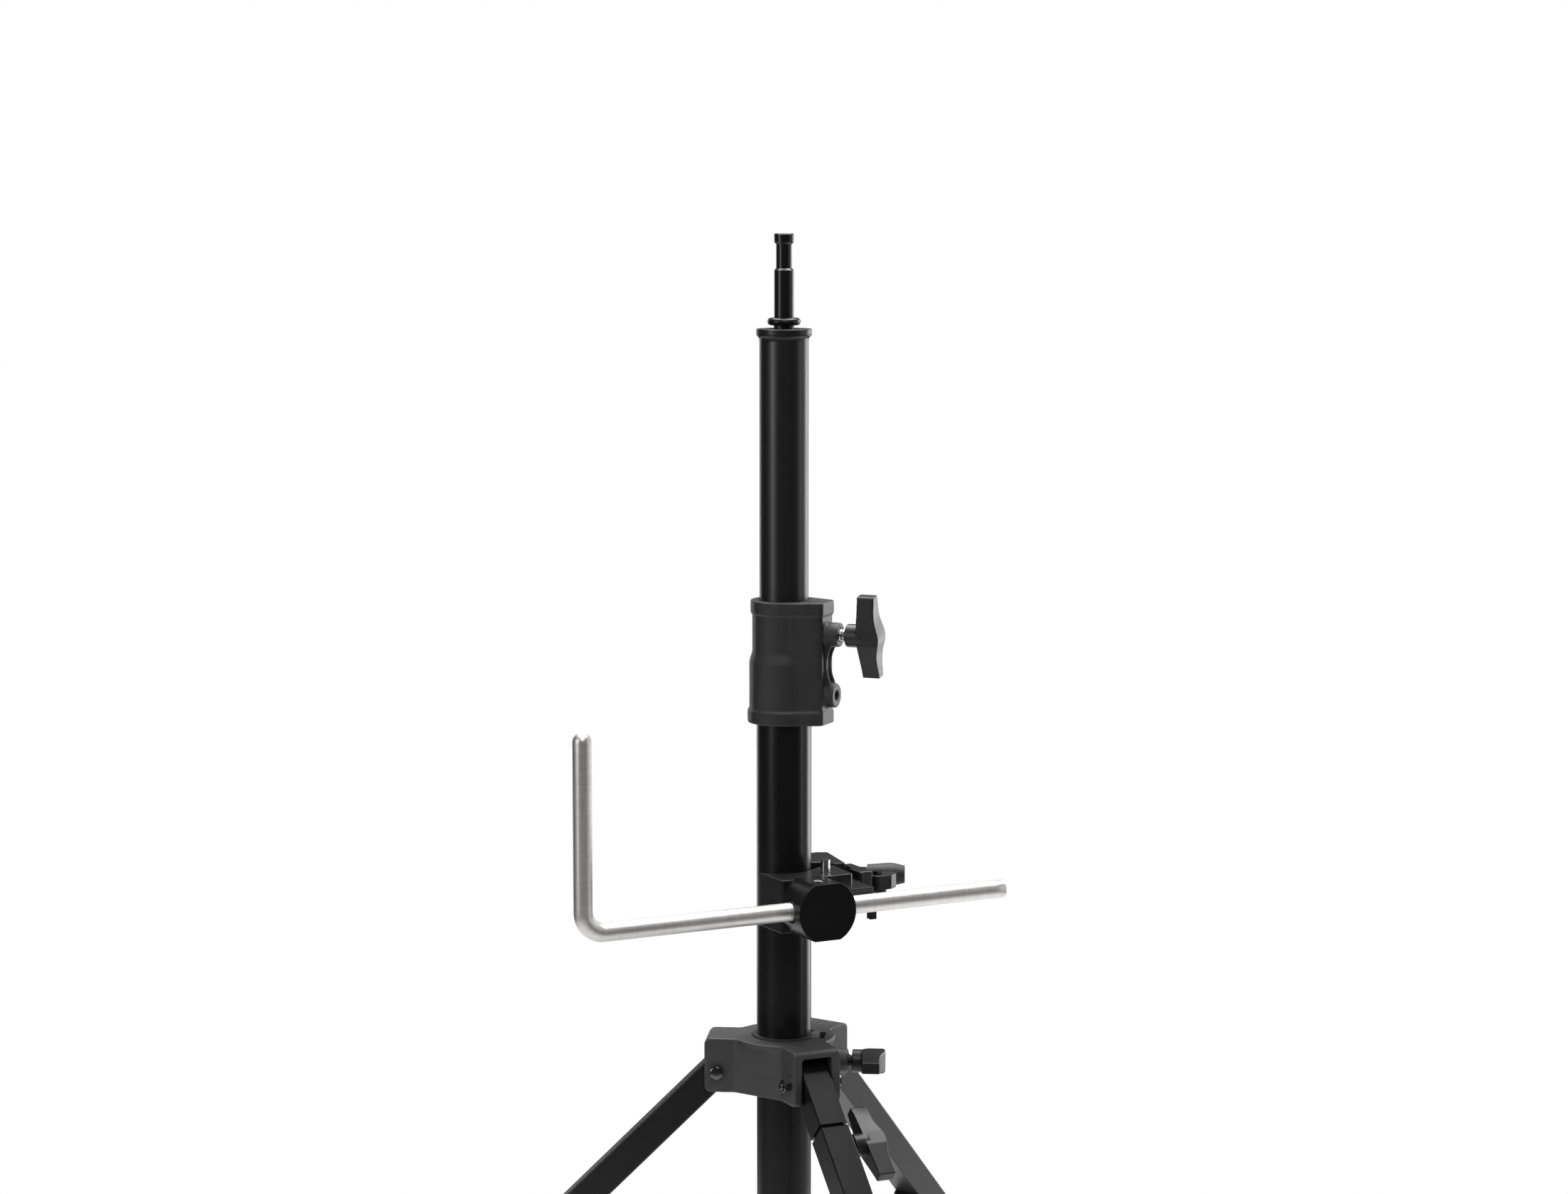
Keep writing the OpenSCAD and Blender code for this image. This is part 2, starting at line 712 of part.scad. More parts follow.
module clamp_body() {
    rise = tan(30);
    color("#262628") in_clamp() difference() {
        union() {
            translate([0, 0, -clamp_top]) linear_extrude(jaw_h) polygon([
                [-jaw_left, -jaw_front + 1.5], [-jaw_left + 1.5, -jaw_front], [36.5, -jaw_front],
                [38, -jaw_front + 1.5], [41, -9], [32, -vee + 32 * rise], [4, -vee + 4 * rise],
                [-4, -vee + 4 * rise], [-jaw_left, -vee + jaw_left * rise]
            ]);
            // the spine that guides the moving jaw
            translate([spine_u - 3, -jaw_front, -12])
                cube([spine_w + 3, 95, spine_top + 12]);
            // the carriage beside the spine, with the lug that carries the lever
            translate([0, 0, -12]) linear_extrude(29) polygon([
                [spine_u + spine_w - tiny, -24], [70, -24], [70, 12], [63.5, 12], [61, -7],
                [spine_u + spine_w - tiny, -7]
            ]);
            for (i = [0:4]) translate([59 + 2.3 * i, -25.2, -9]) cube([1.2, 2, 25]);
            translate([66, lever_v - 8, -14]) cube([lever_u - 66, 16, 11.6]);
            translate([lever_u, lever_v, -14]) cylinder(r = 8, h = 11.6);
        }
        // socket for the stud, pin bore and lock screw bore
        translate([holder_axis_u, 0, 0])
            bar_y(-jaw_front - 1, -jaw_front + 18, stud_d / 2 + running);
        translate([lock_u, lock_v, 2]) cylinder(r = lock_pin_d / 2 + running, h = 60);
        translate([lock_u, lock_v, 2]) cylinder(r = lock_pin_d / 2 + 1.2, h = 12);
        translate([0, socket_v, -5]) bar_x(0, 100, 4 + running);
        translate([lever_u, lever_v, -30]) cylinder(r = 3, h = 60);
    }
}

module clamp_jaw() {
    gap = running + 0.2;
    rise = tan(30);
    color("#2c2c2e") in_clamp() difference() {
        translate([0, 0, -clamp_top]) linear_extrude(jaw_h) polygon([
            [-16, vee - 16 * rise], [-4, vee - 4 * rise], [4, vee - 4 * rise],
            [30, vee - 30 * rise], [44, 4], [44, -6], [54.5, -6], [64, 42], [56, 46],
            [5, 46], [-1, 41], [-9, 29]
        ]);
        translate([spine_u - 3 - gap, -60, -clamp_top - 1])
            cube([spine_w + 3 + 2 * gap, 160, spine_top + clamp_top + 1 + gap]);
    }
}

module clamp_lever() {
    color("#343436") in_clamp() difference() {
        translate([lever_u, lever_v, lever_z]) union() {
            cylinder(r = 8.5, h = 12);
            linear_extrude(12) polygon([
                [-6, -7], [-3, -9], [8, -9.5], [16, -4], [17.5, 3], [9, 8.2], [-0.8, 16.3],
                [7.7, 31.4], [1.7, 34.9], [-6.5, 21], [-7.5, 6]
            ]);
        }
        translate([lever_u, lever_v, -20]) cylinder(r = 3 + running, h = 60);
    }
}

module lever_grip() {
    color("#1d1d1f") in_clamp() translate([lever_u, lever_v + 26, lever_z + 7.4])
        rotate([0, 0, -30]) rotate([0, 90, 0]) rotate_extrude()
            polygon([[0, 4.2], [8.2, 4.2], [9.6, 22], [9.4, 27], [7.3, 36], [0, 36]]);
}

module lever_pin() {
    color("#9a9a9c") in_clamp() translate([lever_u, lever_v, 0]) {
        translate([0, 0, -14]) cylinder(r = 3, h = 14 + lever_z + 12 + face_gap);
        translate([0, 0, lever_z + 12 + face_gap]) cylinder(r = 4.2, h = 2.5);
    }
}

module lock_pin() {
    color("#dcdcdc") in_clamp() translate([lock_u, lock_v, 9])
        cylinder(d = lock_pin_d, h = clamp_top + lock_pin_up - 9);
}

module lock_pin_spring() {
    color("#9a9a9c") in_clamp() translate([lock_u, lock_v, 2]) difference() {
        cylinder(d = lock_pin_d, h = 6.6);
        translate([0, 0, -1]) cylinder(d = lock_pin_d - 2, h = 12);
    }
}

module socket_lock() {
    face = spine_u + spine_w + face_gap;
    color("#2c2c2e") in_clamp() translate([0, socket_v, -5]) {
        bar_x(holder_axis_u + stud_d / 2 + face_gap, face + 1, 4);
        bar_x(face, face + 8, 6.5);
        translate([face + 1.5, -3.2, -15.5]) cube([6, 6.4, 15.5]);
    }
}

// ---------------------------------------------------------------- rod and holder

// Places children on the holder's axis, which runs along the clamp's Y
module on_holder() {
    in_clamp() translate([holder_axis_u, 0, 0]) children();
}

module rod_holder() {
    back = -jaw_front - face_gap;
    color("#19191b") on_holder() difference() {
        intersection() {
            bar_y(back - holder_len, back, holder_d / 2);
            translate([-60, -150, -holder_flat / 2]) cube([120, 150, holder_flat]);
        }
        translate([0, rod_v, 0]) bar_x(-60, 60, rod_d / 2 + sleeve_t + running);
        translate([0, rod_v, 0]) cylinder(r = 4, h = 60);
        bar_y(back - 6, back + 1, stud_d / 2 - 2);
    }
}

module holder_stud() {
    back = -jaw_front - face_gap;
    color("#b0b0b2") on_holder() difference() {
        union() {
            bar_y(back - 6, back, stud_d / 2 - 2);
            bar_y(back, -jaw_front + 17, stud_d / 2);
        }
        translate([0, -jaw_front + 9, 0]) rotate_extrude()
            translate([stud_d / 2 - 1, -tiny]) square([tiny, 2 * tiny]);
    }
}

module holder_screw() {
    color("#a9a9ab") on_holder() translate([0, rod_v, 0]) difference() {
        translate([0, 0, rod_d / 2 + sleeve_t + face_gap])
            cylinder(r = 4, h = holder_flat / 2 - rod_d / 2 - sleeve_t - face_gap - 0.8);
        translate([0, 0, holder_flat / 2 - 5]) cylinder(r = 4 / sqrt(3), h = 8, $fn = 6);
    }
}

module rod_sleeve() {
    color("#b7b7b4") on_holder() translate([0, rod_v, 0]) difference() {
        bar_x(-holder_d / 2 + 0.5, holder_d / 2 - 0.5, rod_d / 2 + sleeve_t);
        bar_x(-60, 60, rod_d / 2 + running);
        translate([-60, -0.6, -20]) cube([120, 1.2, 20]);
    }
}

module l_rod() {
    r = rod_d / 2;
    color("#b9b9b6") on_holder() translate([0, rod_v, 0]) {
        bar_x(-rod_left + rod_bend, rod_right - 1, r);
        translate([rod_right - 1, 0, 0]) rotate([0, 90, 0]) cylinder(r1 = r, r2 = r - 1, h = 1);
        translate([-rod_left + rod_bend, 0, rod_bend]) rotate([90, 0, 0]) rotate([0, 0, 180])
            rotate_extrude(angle = 90) translate([rod_bend, 0]) circle(r);
        translate([-rod_left, 0, rod_bend]) cylinder(r = r, h = rod_up - rod_bend - r);
        translate([-rod_left, 0, rod_up - r]) sphere(r);
    }
}

// ---------------------------------------------------------------- nodes

spigot();
spigot_ring();
riser_cap();
riser_tube();
riser_guide();
collar();
collar_set_screw();
collar_knob();
collar_screw();
collar_pad();
column_tube();
column_plug();
lower_hub();
hub_pins();
spider();
spider_bush();
leg_bolts();
leg_nuts();
spider_knob();
spider_screw();
spider_pad();
leg(LEFT);  // leg_left
foot(LEFT);  // foot_left
lug(LEFT, leg_w - 2 * face_gap, 24, face_gap);  // lug_left
leg(REAR);  // leg_rear
foot(REAR);  // foot_rear
lug(REAR, leg_w - 2 * face_gap, 24, face_gap);  // lug_rear
leg_front_upper();
leg_front_core();
lug(FRONT, slot_w - 1.2, 22, face_gap + leg_w / 2 - core_w / 2);  // lug_front
leg_front_lower();
foot(FRONT);  // foot_front
level_knob();
level_screw();
level_pad();
brace(LEFT);  // brace_left
rivets(LEFT);  // rivets_left
brace(REAR);  // brace_rear
rivets(REAR);  // rivets_rear
brace(FRONT);  // brace_front
rivets(FRONT);  // rivets_front
clamp_body();
clamp_jaw();
clamp_lever();
lever_grip();
lever_pin();
lock_pin();
lock_pin_spring();
socket_lock();
rod_holder();
holder_stud();
holder_screw();
rod_sleeve();
l_rod();
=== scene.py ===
"""Looks of a heavy-duty camera stand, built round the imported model.

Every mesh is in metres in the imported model's own frame: the origin is on the
column's axis at floor level, +Z is up and +X is the side of the locking knobs.
"""

import json
import logging
import math
from dataclasses import dataclass, field
from enum import Enum

import bmesh
import bpy
from mathutils import Matrix, Vector


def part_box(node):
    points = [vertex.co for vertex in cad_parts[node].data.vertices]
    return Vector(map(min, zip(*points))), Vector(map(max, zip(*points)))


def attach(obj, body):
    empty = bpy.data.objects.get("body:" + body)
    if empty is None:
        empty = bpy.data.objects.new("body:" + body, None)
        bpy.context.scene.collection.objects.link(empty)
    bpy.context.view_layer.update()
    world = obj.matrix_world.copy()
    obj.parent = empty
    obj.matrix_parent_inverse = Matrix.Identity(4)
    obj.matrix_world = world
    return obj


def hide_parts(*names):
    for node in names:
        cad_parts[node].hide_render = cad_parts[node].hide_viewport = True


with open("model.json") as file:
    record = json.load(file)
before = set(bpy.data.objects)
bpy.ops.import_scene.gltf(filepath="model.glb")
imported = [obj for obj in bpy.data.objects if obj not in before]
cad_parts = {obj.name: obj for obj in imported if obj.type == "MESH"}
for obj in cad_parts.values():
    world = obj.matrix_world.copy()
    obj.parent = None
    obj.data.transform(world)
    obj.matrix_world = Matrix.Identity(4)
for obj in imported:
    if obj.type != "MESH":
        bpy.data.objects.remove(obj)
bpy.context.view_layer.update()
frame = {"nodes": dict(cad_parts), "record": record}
JOINTS = {joint["name"]: joint for joint in frame["record"]["behaviour"]["joints"]}
LOG = logging.getLogger("stand")
MM = 0.001
# Compass direction of each leg, in degrees from +X
LEG_AZ = {"left": 175.0, "front": 295.0, "rear": 55.0}
# Turn of the hook rod and its clamp about the column
YAW = math.radians(28.0)
# Stretch of the faint grain on painted square tube, the same along every axis
PAINT_GRAIN = (0.2, 0.2, 0.2)
EVEN = (1.0, 1.0, 1.0)


# ---------------------------------------------------------------- shader maths


class Net:
    """A node tree, with one method that adds any node."""

    def __init__(self, tree: bpy.types.NodeTree) -> None:
        """Keeps the tree.

        Args:
            tree: a material's or a modifier's node tree.
        """
        self.tree = tree

    def add(self, kind: str, settings: dict | None = None, **sockets: object) -> bpy.types.Node:
        """Adds a node, sets its settings, then fills or links its sockets.

        Args:
            kind: the node's type, such as "ShaderNodeBump".
            settings: attributes of the node that are set first.
            sockets: socket names, with _ for a space, or iN for input number N.

        Returns:
            The new node.
        """
        node = self.tree.nodes.new(kind)
        for name, value in (settings or {}).items():
            setattr(node, name, value)
        for name, value in sockets.items():
            key = int(name[1:]) if name[0] == "i" and name[1:].isdigit() else name.replace("_", " ")
            self.feed(node.inputs[key], value)
        return node

    def feed(self, socket: bpy.types.NodeSocket, value: object) -> None:
        """Links a wrapped or plain output to a socket, or sets its value.

        Args:
            socket: the input to fill.
            value: a Val, an output socket, or a number or tuple.
        """
        if isinstance(value, Val):
            value = value.socket
        if isinstance(value, bpy.types.NodeSocket):
            self.tree.links.new(value, socket)
        else:
            socket.default_value = value


class Tree(Net):
    """A material's node tree."""

    def __init__(self, material: bpy.types.Material) -> None:
        """Empties the material's tree and adds its output.

        Args:
            material: the material whose nodes are made here.
        """
        material.use_nodes = True
        super().__init__(material.node_tree)
        self.tree.nodes.clear()
        self.output = self.tree.nodes.new("ShaderNodeOutputMaterial")

    def ramp(self, fac: "Val", *stops: tuple[float, float]) -> "Val":
        """Maps a value through grey stops of (position, brightness).

        Args:
            fac: the value to map.
            stops: pairs of position and brightness.

        Returns:
            The mapped value.
        """
        node = self.tree.nodes.new("ShaderNodeValToRGB")
        elements = node.color_ramp.elements
        while len(elements) < len(stops):
            elements.new(0.5)
        for element, (place, grey) in zip(elements, stops):
            element.position = place
            element.color = (grey, grey, grey, 1)
        self.feed(node.inputs[0], fac)
        return Val(self, node.outputs[0])

    def mix(self, fac: "Val", low: tuple, high: tuple) -> "Val":
        """Mixes two colours by a value.

        Args:
            fac: how much of the second colour.
            low: the colour at 0.
            high: the colour at 1.

        Returns:
            The mixed colour.
        """
        node = self.tree.nodes.new("ShaderNodeMix")
        node.data_type = "RGBA"
        self.feed(node.inputs[0], fac)
        for socket, colour in ((node.inputs[6], low), (node.inputs[7], high)):
            self.feed(socket, (*colour, 1) if isinstance(colour, tuple) else colour)
        return Val(self, node.outputs[2])

    def coords(self, scale: tuple = (1, 1, 1), source: str = "Object") -> "Val":
        """Texture coordinates, stretched along each axis.

        Args:
            scale: stretch along each axis.
            source: "Object", or "UV" for a piece with its own map.

        Returns:
            The coordinates.
        """
        raw = self.add("ShaderNodeTexCoord").outputs[source]
        return Val(self, self.add("ShaderNodeMapping", Vector=raw, Scale=scale).outputs[0])

    def surface(self, colour: "Val", rough: "Val", height: "Val", bump: float, deep: float,
                gloss: float = 0.5, metal: float = 0.0) -> None:
        """Ends the tree in a Principled shader with a bump.

        Args:
            colour: the base colour.
            rough: the roughness.
            height: the bump's height.
            bump: the bump's strength.
            deep: the bump's distance, in metres.
            gloss: strength of the specular reflection.
            metal: how metallic it is.
        """
        relief = self.add("ShaderNodeBump", Strength=bump, Distance=deep, Height=height)
        shader = self.add("ShaderNodeBsdfPrincipled", Base_Color=colour, Roughness=rough,
                          Normal=relief.outputs[0], Metallic=metal, Specular_IOR_Level=gloss)
        self.feed(self.output.inputs[0], shader.outputs[0])

    def noise(self, coords: "Val", scale: float, detail: float = 3.0, rough: float = 0.5) -> "Val":
        """Noise on some coordinates.

        Args:
            coords: where the pattern is read.
            scale: cells to a metre.
            detail: octaves.
            rough: roughness of the octaves.

        Returns:
            The noise value.
        """
        node = self.add("ShaderNodeTexNoise", Vector=coords, Scale=scale, Detail=detail, Roughness=rough)
        return Val(self, node.outputs[0])


@dataclass
class Val:
    """A shader value that Python's operators work on."""

    tree: Net
    socket: bpy.types.NodeSocket

    def _math(self, operation: str, first: object, second: object) -> "Val":
        """Adds one Math node and returns its value."""
        node = self.tree.add("ShaderNodeMath", {"operation": operation}, i0=first, i1=second)
        return Val(self.tree, node.outputs[0])

    def __add__(self, other: object) -> "Val":
        """self + other."""
        return self._math("ADD", self, other)

    def __radd__(self, other: object) -> "Val":
        """other + self."""
        return self._math("ADD", other, self)

    def __sub__(self, other: object) -> "Val":
        """self - other."""
        return self._math("SUBTRACT", self, other)

    def __rsub__(self, other: object) -> "Val":
        """other - self."""
        return self._math("SUBTRACT", other, self)

    def __mul__(self, other: object) -> "Val":
        """self * other."""
        return self._math("MULTIPLY", self, other)

    def __rmul__(self, other: object) -> "Val":
        """other * self."""
        return self._math("MULTIPLY", other, self)


class Growth(Net):
    """A Geometry Nodes tree with named inputs for its sizes."""

    def __init__(self, name: str, **inputs: str) -> None:
        """Makes the tree with its inputs and its output.

        Args:
            name: the tree's name.
            inputs: each input's name and its kind, such as "Float".
        """
        super().__init__(bpy.data.node_groups.new(name, "GeometryNodeTree"))
        face = self.tree.interface
        face.new_socket("Geometry", in_out="INPUT", socket_type="NodeSocketGeometry")
        self.keys = {}
        for label, kind in {**inputs, "Finish": "Material"}.items():
            made = face.new_socket(label, in_out="INPUT", socket_type="NodeSocket" + kind)
            self.keys[label] = made.identifier
        face.new_socket("Geometry", in_out="OUTPUT", socket_type="NodeSocketGeometry")
        self.entry = self.tree.nodes.new("NodeGroupInput")
        self.exit = self.tree.nodes.new("NodeGroupOutput")

    def size(self, name: str) -> "Val":
        """Returns the value of one named input."""
        return Val(self, self.entry.outputs[name])

    def close(self, shape: bpy.types.NodeSocket) -> None:
        """Ends the tree in real meshes that carry the finish.

        Args:
            shape: the geometry made so far.
        """
        real = self.add("GeometryNodeRealizeInstances", Geometry=shape)
        painted = self.add("GeometryNodeSetMaterial", Geometry=real.outputs[0],
                           Material=self.size("Finish"))
        self.feed(self.exit.inputs[0], painted.outputs[0])

    def grow(self, name: str, base: bpy.types.Mesh, **sizes: object) -> bpy.types.Mesh:
        """Runs the tree on a mesh.

        Args:
            name: the result's name.
            base: the mesh that the tree starts from.
            sizes: the values of the named inputs.

        Returns:
            The plain mesh that the tree makes.
        """
        host = bpy.data.objects.new(name + "_host", base)
        bpy.context.scene.collection.objects.link(host)
        modifier = host.modifiers.new(name, "NODES")
        modifier.node_group = self.tree
        for label, value in sizes.items():
            modifier[self.keys[label]] = value
        graph = bpy.context.evaluated_depsgraph_get()
        made = bpy.data.meshes.new_from_object(host.evaluated_get(graph))
        made.name = name
        bpy.data.objects.remove(host)
        return made


# ---------------------------------------------------------------- finishes


@dataclass(frozen=True)
class Casting:
    """A sand-textured, powder-painted casting.

    The tone and its spread are linear greys, and the grain is cells to a metre.
    """

    name: str
    tone: float = 0.03
    spread: float = 0.012
    rough: float = 0.5
    grain: float = 1500.0
    bump: float = 0.25
    gloss: float = 0.35

    def material(self) -> bpy.types.Material:
        """Builds the material."""
        material = bpy.data.materials.new(self.name)
        tree = Tree(material)
        at = tree.coords()
        grit = tree.noise(at, self.grain, 2.0, 0.6)
        cloud = tree.noise(at, 60.0, 3.0, 0.55)
        shade = tree.ramp(grit * 0.6 + cloud * 0.4, (0.3, 0.0), (0.7, 1.0))
        low, high = self.tone - self.spread, self.tone + self.spread
        colour = tree.mix(shade, (low, low, low * 1.02), (high, high, high * 1.01))
        tree.surface(colour, self.rough - 0.06 + cloud * 0.12, grit, self.bump, 0.0003, self.gloss)
        return material


@dataclass(frozen=True)
class SatinTube:
    """A black anodised or painted tube, with faint lines along its length."""

    name: str
    tone: float = 0.012
    rough: float = 0.26
    lengthwise: tuple = (1.0, 1.0, 0.012)
    lines: float = 900.0
    bump: float = 0.04
    gloss: float = 0.3

    def material(self) -> bpy.types.Material:
        """Builds the material."""
        material = bpy.data.materials.new(self.name)
        tree = Tree(material)
        plain = tree.coords()
        line = tree.noise(tree.coords(self.lengthwise), self.lines, 2.0, 0.5)
        cloud = tree.noise(plain, 25.0, 2.0, 0.5)
        speck = tree.ramp(tree.noise(plain, 700.0, 1.0, 0.4), (0.74, 0.0), (0.8, 1.0))
        tone = self.tone
        colour = tree.mix(line * 0.5 + cloud * 0.4 + speck * 0.5, (tone * 0.8,) * 3, (tone * 1.5,) * 3)
        rough = self.rough - 0.05 + cloud * 0.07 + line * 0.04 + speck * 0.1
        tree.surface(colour, rough, line, self.bump, 0.0001, self.gloss)
        return material


@dataclass(frozen=True)
class Moulded:
    """A satin plastic moulding or rubber."""

    name: str
    tone: float = 0.028
    rough: float = 0.42
    grain: float = 2200.0
    bump: float = 0.06
    gloss: float = 0.35

    def material(self) -> bpy.types.Material:
        """Builds the material."""
        material = bpy.data.materials.new(self.name)
        tree = Tree(material)
        at = tree.coords()
        fine = tree.noise(at, self.grain, 2.0, 0.5)
        cloud = tree.noise(at, 90.0, 3.0, 0.5)
        colour = tree.mix(cloud, (self.tone * 0.85,) * 3, (self.tone * 1.15,) * 3)
        tree.surface(colour, self.rough - 0.05 + cloud * 0.1, fine, self.bump, 0.0002, self.gloss)
        return material


@dataclass(frozen=True)
class BareMetal:
    """Bare steel with brushing along one direction."""

    name: str
    colour: tuple = (0.55, 0.54, 0.52)
    rough: float = 0.24
    stretch: tuple = (0.02, 1.0, 1.0)
    lines: float = 1600.0
    metal: float = 1.0
    on_length: bool = False
    contrast: float = 0.72
    depth: float = 0.1

    def material(self) -> bpy.types.Material:
        """Builds the material."""
        material = bpy.data.materials.new(self.name)
        tree = Tree(material)
        source, blotch = ("UV", (0.02, 0.5, 1.0)) if self.on_length else ("Object", (0.25, 1.0, 1.0))
        streak = tree.noise(tree.coords(self.stretch, source), self.lines, 3.0, 0.6)
        stain = tree.noise(tree.coords(blotch, source), 60.0, 3.0, 0.6)
        low = tuple(c * self.contrast for c in self.colour)
        colour = tree.mix(streak * 0.45 + stain * 0.55, low, self.colour)
        rough = self.rough - 0.06 + streak * 0.1 + stain * 0.06
        tree.surface(colour, rough, streak, self.depth, 0.0001, metal=self.metal)
        return material


class Finish(Enum):
    """The finishes of the stand's pieces."""

    ANODISED = SatinTube("black anodised tube", 0.0035, 0.3, bump=0.012, gloss=0.3)
    RISER = SatinTube("satin riser tube", 0.0045, 0.36, bump=0.012, gloss=0.45)
    LEFT_LEG = SatinTube("left leg satin black", 0.004, 0.3, PAINT_GRAIN, bump=0.008, gloss=0.35)
    FRONT_LEG = SatinTube("satin black leg", 0.0032, 0.3, PAINT_GRAIN, bump=0.008, gloss=0.24)
    # Painted highlight: the rear leg has the same satin paint as the other legs, made lighter because it
    # faces the top and right lights.
    LIT_REAR_LEG = SatinTube("leg paint with painted highlight", 0.015, 0.4, PAINT_GRAIN, bump=0.008, gloss=0.45)
    HOLDER = SatinTube("smooth black holder", 0.0035, 0.3, EVEN, lines=400.0, bump=0.004, gloss=0.22)
    COLLAR = Casting("fine grained black casting", 0.013, 0.008, 0.42, 2600.0, 0.8, 0.42)
    CLAMP = Casting("black clamp casting", 0.0075, 0.0025, 0.36, 2200.0, 0.12, 0.3)
    SPIDER = Casting("grained grey-black casting", 0.03, 0.012, 0.5, 2300.0, 0.6, 0.45)
    KNOB = Moulded("satin knob moulding", 0.011, 0.38, 1800.0, 0.2, 0.36)
    RUBBER = Moulded("matt black rubber", 0.012, 0.6, 1500.0, 0.15)
    BUSH = Moulded("dark nylon", 0.03, 0.45)
    PAD = Moulded("grey brake pad", 0.07, 0.6, 900.0, 0.2)
    STEEL = BareMetal("turned steel", (0.6, 0.59, 0.57), 0.25, EVEN, lines=500.0)
    DARK_STEEL = BareMetal("blackened steel", (0.05, 0.05, 0.052), 0.35, EVEN, lines=500.0)
    ROD = BareMetal("brushed stainless rod", (0.8, 0.79, 0.77), 0.42, (1.0, 0.035, 1.0), lines=80.0,
                    on_length=True, contrast=0.45, depth=0.45)
    BOLT = BareMetal("oiled black bolt", (0.11, 0.11, 0.113), 0.2, EVEN, lines=900.0)
    BRIGHT = BareMetal("zinc plated screw", (0.8, 0.8, 0.78), 0.5, EVEN, lines=900.0, metal=0.8)
    CHROME = BareMetal("polished pin", (0.75, 0.75, 0.75), 0.16, (1.0, 1.0, 0.05), lines=700.0)

    def get(self) -> bpy.types.Material:
        """Returns this finish's material, built once."""
        made = bpy.data.materials.get(self.value.name)
        return made or self.value.material()


# ---------------------------------------------------------------- mesh tools


def link(name: str, mesh: bpy.types.Mesh) -> bpy.types.Object:
    """Puts a mesh in the scene as an object at the origin.

    Args:
        name: the piece's name.
        mesh: its mesh.

    Returns:
        The object.
    """
    piece = bpy.data.objects.new(name, mesh)
    bpy.context.scene.collection.objects.link(piece)
    return piece


def smooth(mesh: bpy.types.Mesh, angle: float = 35.0) -> None:
    """Shades a mesh smooth, with edges sharper than an angle kept.

    Args:
        mesh: the mesh to shade.
        angle: degrees.
    """
    mesh.shade_smooth()
    mesh.set_sharp_from_angle(angle=math.radians(angle))


def ring(bm: bmesh.types.BMesh, radii: list[float], heights: list[float]) -> list:
    """Adds one ring of vertices about Z.

    Args:
        bm: the mesh being made.
        radii: the radius at each side, in millimetres.
        heights: the height at each side, in millimetres.

    Returns:
        The ring's vertices, evenly spaced from +X.
    """
    step = math.tau / len(radii)
    return [bm.verts.new(Vector((r * math.cos(step * i), r * math.sin(step * i), z)) * MM)
            for i, (r, z) in enumerate(zip(radii, heights))]


def copy_of(*nodes: str) -> bpy.types.Mesh:
    """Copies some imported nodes' meshes into one, with their seams merged.

    Args:
        nodes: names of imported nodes.

    Returns:
        The new mesh.
    """
    bm = bmesh.new()
    for node in nodes:
        bm.from_mesh(frame["nodes"][node].data)
    bmesh.ops.remove_doubles(bm, verts=bm.verts, dist=1e-6)
    mesh = bpy.data.meshes.new(nodes[0])
    bm.to_mesh(mesh)
    bm.free()
    mesh.materials.clear()
    return mesh


def softened(name: str, mesh: bpy.types.Mesh, voxel: float, rounds: int) -> bpy.types.Object:
    """Rounds every edge of a shape as a casting or moulding has them.

    Args:
        name: the piece's name.
        mesh: the crisp shape.
        voxel: grid size in millimetres.
        rounds: smoothing rounds, each of which widens the fillets.

    Returns:
        The rounded piece.
    """
    rough = link(name + "_crisp", mesh)
    remesh = rough.modifiers.new("grid", "REMESH")
    remesh.mode = "VOXEL"
    remesh.voxel_size = voxel * MM
    relax = rough.modifiers.new("fillet", "SMOOTH")
    relax.factor = 0.5
    relax.iterations = rounds
    graph = bpy.context.evaluated_depsgraph_get()
    made = bpy.data.meshes.new_from_object(rough.evaluated_get(graph))
    bpy.data.objects.remove(rough)
    made.shade_smooth()
    return link(name, made)


def dress(piece: bpy.types.Object, finish: Finish, body: str, slot: str,
          *nodes: str) -> bpy.types.Object:
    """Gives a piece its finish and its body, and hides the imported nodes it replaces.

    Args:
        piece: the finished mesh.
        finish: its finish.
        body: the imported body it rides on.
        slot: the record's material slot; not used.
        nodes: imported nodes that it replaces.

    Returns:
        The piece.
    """
    piece.data.materials.clear()
    piece.data.materials.append(finish.get())
    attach(piece, body)
    if nodes:
        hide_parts(*nodes)
    LOG.info("%s: %d faces on %s", piece.name, len(piece.data.polygons), body)
    return piece


def repaint(finish: Finish, *nodes: str) -> None:
    """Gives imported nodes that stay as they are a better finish.

    Args:
        finish: the finish.
        nodes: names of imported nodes.
    """
    for node in nodes:
        data = frame["nodes"][node].data
        data.materials.clear()
        data.materials.append(finish.get())
        LOG.info("%s: packed shape, %s", node, finish.value.name)


def along(point: tuple[float, float, float], direction: Vector) -> Matrix:
    """A frame at a point in millimetres whose +Z runs along a direction.

    Args:
        point: the frame's origin.
        direction: its +Z.

    Returns:
        The matrix.
    """
    turn = direction.normalized().to_track_quat("Z", "Y").to_matrix().to_4x4()
    return Matrix.Translation(Vector(point) * MM) @ turn


# ---------------------------------------------------------------- sub-assemblies


